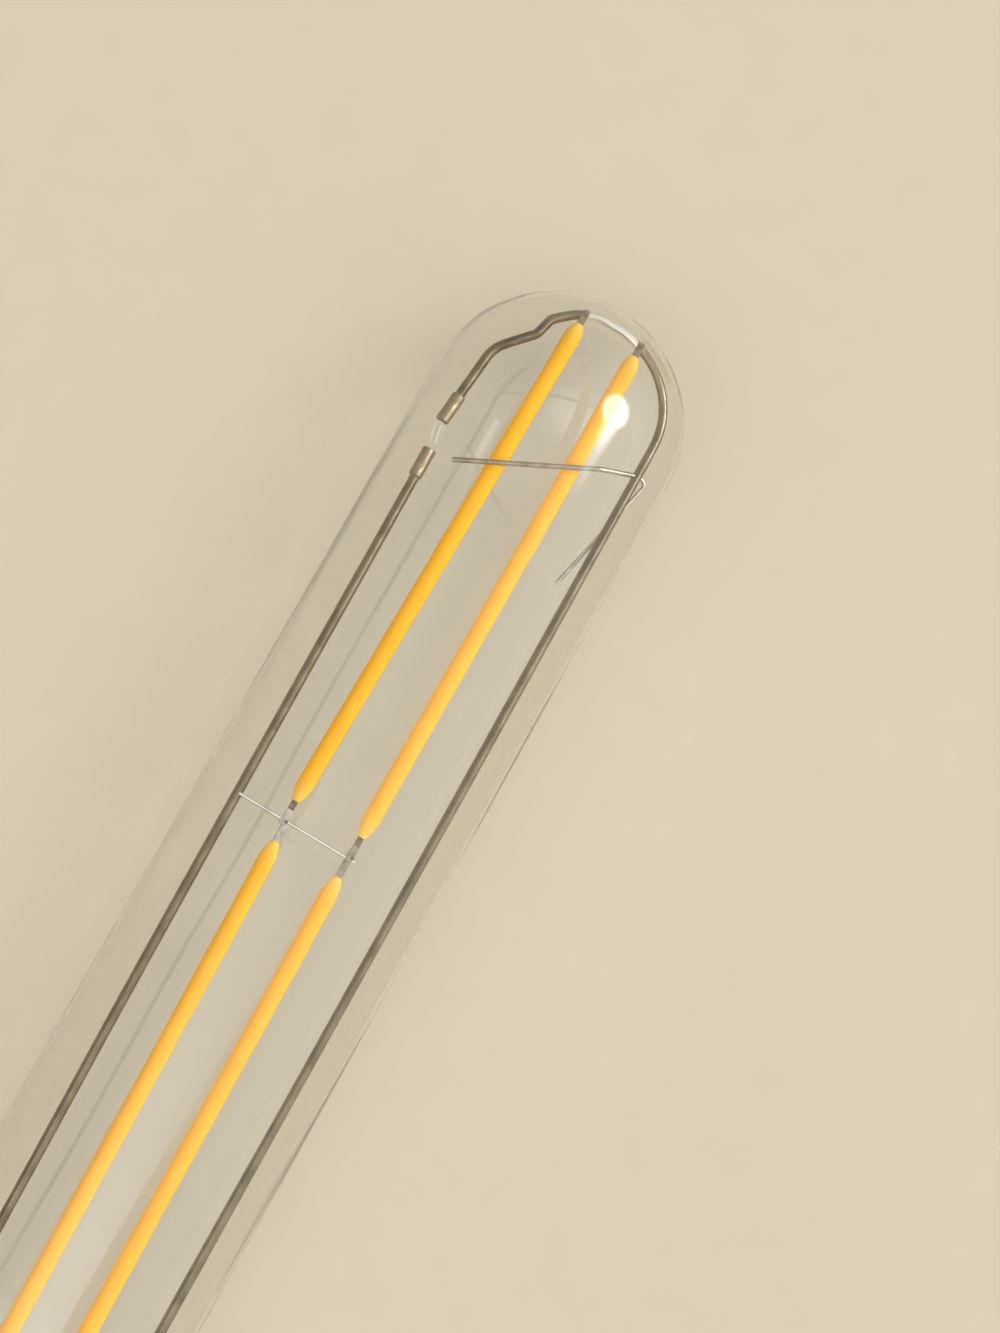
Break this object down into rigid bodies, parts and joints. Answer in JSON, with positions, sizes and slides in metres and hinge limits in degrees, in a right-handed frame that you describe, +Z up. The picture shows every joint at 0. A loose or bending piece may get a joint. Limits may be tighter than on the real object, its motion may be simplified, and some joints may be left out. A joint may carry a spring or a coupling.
{
  "type": "tubular light bulb",
  "caption": "Clear glass tubular filament lamp with yellow LED filaments on a wire frame and a round-thread screw cap.",
  "frame": {"origin": "centre of the lamp's length, on the surface that it lies on", "axes": "+X along the lamp from the cap to the glass tip, +Z up, wire frame level with Y across it"},
  "size_m": [0.1848, 0.03, 0.03],
  "materials": {
    "clear_glass": "clear, fire-polished",
    "stem_glass": "clear, pressed",
    "nickel_wire": "drawn wire",
    "bright_wire": "bright drawn wire",
    "sleeve_nickel": "crimped tube",
    "copper_clad_wire": "drawn, copper clad",
    "tinned_lead": "tinned",
    "yellow_phosphor": "dispensed silicone with phosphor",
    "ceramic_strip": "fired",
    "led_chip": "polished",
    "tab_steel": "stamped",
    "nickel_plated_brass": "rolled sheet, nickel plated",
    "basing_cement": "baked",
    "black_insulator": "moulded",
    "contact_brass": "stamped",
    "circuit_board": "white solder mask",
    "black_package": "moulded",
    "capacitor_can": "drawn can",
    "fuse_body": "dipped"
  },
  "bodies": {
    "root": {"anchor_wire": "nickel_wire", "arch_wire": "nickel_wire", "basing_cement": "basing_cement", "bridge_rectifier": "black_package", "bridge_rod": "stem_glass", "cap_insulator": "black_insulator", "centre_contact": "contact_brass", "driver_board": "circuit_board", "driver_chip": "black_package", "exhaust_tube": "stem_glass", "fuse_resistor": "fuse_body", "glass_envelope": "clear_glass", "left_lead": "tinned_lead", "left_seal_wire": "copper_clad_wire", "lower_cross_wire": "bright_wire", "lower_left_chips": "led_chip", "lower_left_foot_tab": "tab_steel", "lower_left_phosphor": "yellow_phosphor", "lower_left_strip": "ceramic_strip", "lower_left_top_tab": "tab_steel", "lower_right_chips": "led_chip", "lower_right_foot_tab": "tab_steel", "lower_right_phosphor": "yellow_phosphor", "lower_right_strip": "ceramic_strip", "lower_right_top_tab": "tab_steel", "lower_sleeve": "sleeve_nickel", "middle_cross_wire": "bright_wire", "right_lead": "tinned_lead", "right_seal_wire": "copper_clad_wire", "screw_shell": "nickel_plated_brass", "shell_tongue": "tinned_lead", "side_wire": "nickel_wire", "smoothing_capacitor": "capacitor_can", "stem_flare": "stem_glass", "upper_left_chips": "led_chip", "upper_left_foot_tab": "tab_steel", "upper_left_phosphor": "yellow_phosphor", "upper_left_strip": "ceramic_strip", "upper_left_top_tab": "tab_steel", "upper_right_chips": "led_chip", "upper_right_foot_tab": "tab_steel", "upper_right_phosphor": "yellow_phosphor", "upper_right_strip": "ceramic_strip", "upper_right_top_tab": "tab_steel", "upper_sleeve": "sleeve_nickel"}
  },
  "joints": []
}
